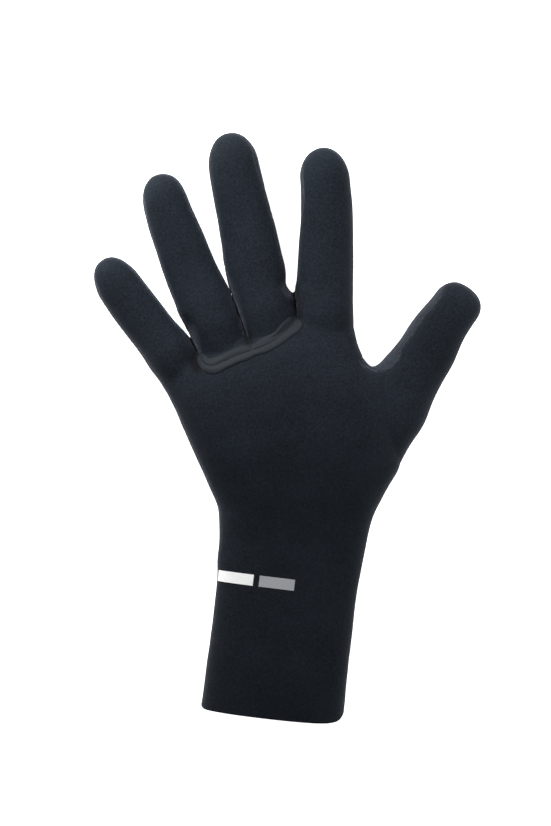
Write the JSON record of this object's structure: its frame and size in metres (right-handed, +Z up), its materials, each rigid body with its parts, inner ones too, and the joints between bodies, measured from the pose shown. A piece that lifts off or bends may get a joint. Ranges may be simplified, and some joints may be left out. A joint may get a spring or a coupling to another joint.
{
  "type": "diving glove",
  "caption": "Left-hand diving glove of thick foam rubber cloth with a long open cuff, lying palm down with its fingers spread.",
  "frame": {"origin": "middle of the glove's base on the surface that it lies on", "axes": "+Y along the fingers, away from the cuff; +X towards the thumb; +Z up, out of the back of the hand"},
  "size_m": [0.1962, 0.3006, 0.0347],
  "materials": {
    "back_cloth": "black knitted nylon on foam rubber",
    "finger_cloth": "black knitted nylon on foam rubber",
    "palm_cloth": "charcoal knit with a fine rubber grain",
    "seal_rubber": "grey liquid rubber, brushed on"
  },
  "bodies": {
    "root": {"back_panel": "back_cloth", "palm_panel": "palm_cloth", "ring_finger_panel": "finger_cloth", "middle_finger_panel": "finger_cloth", "seam_seal": "seal_rubber"}
  },
  "joints": []
}
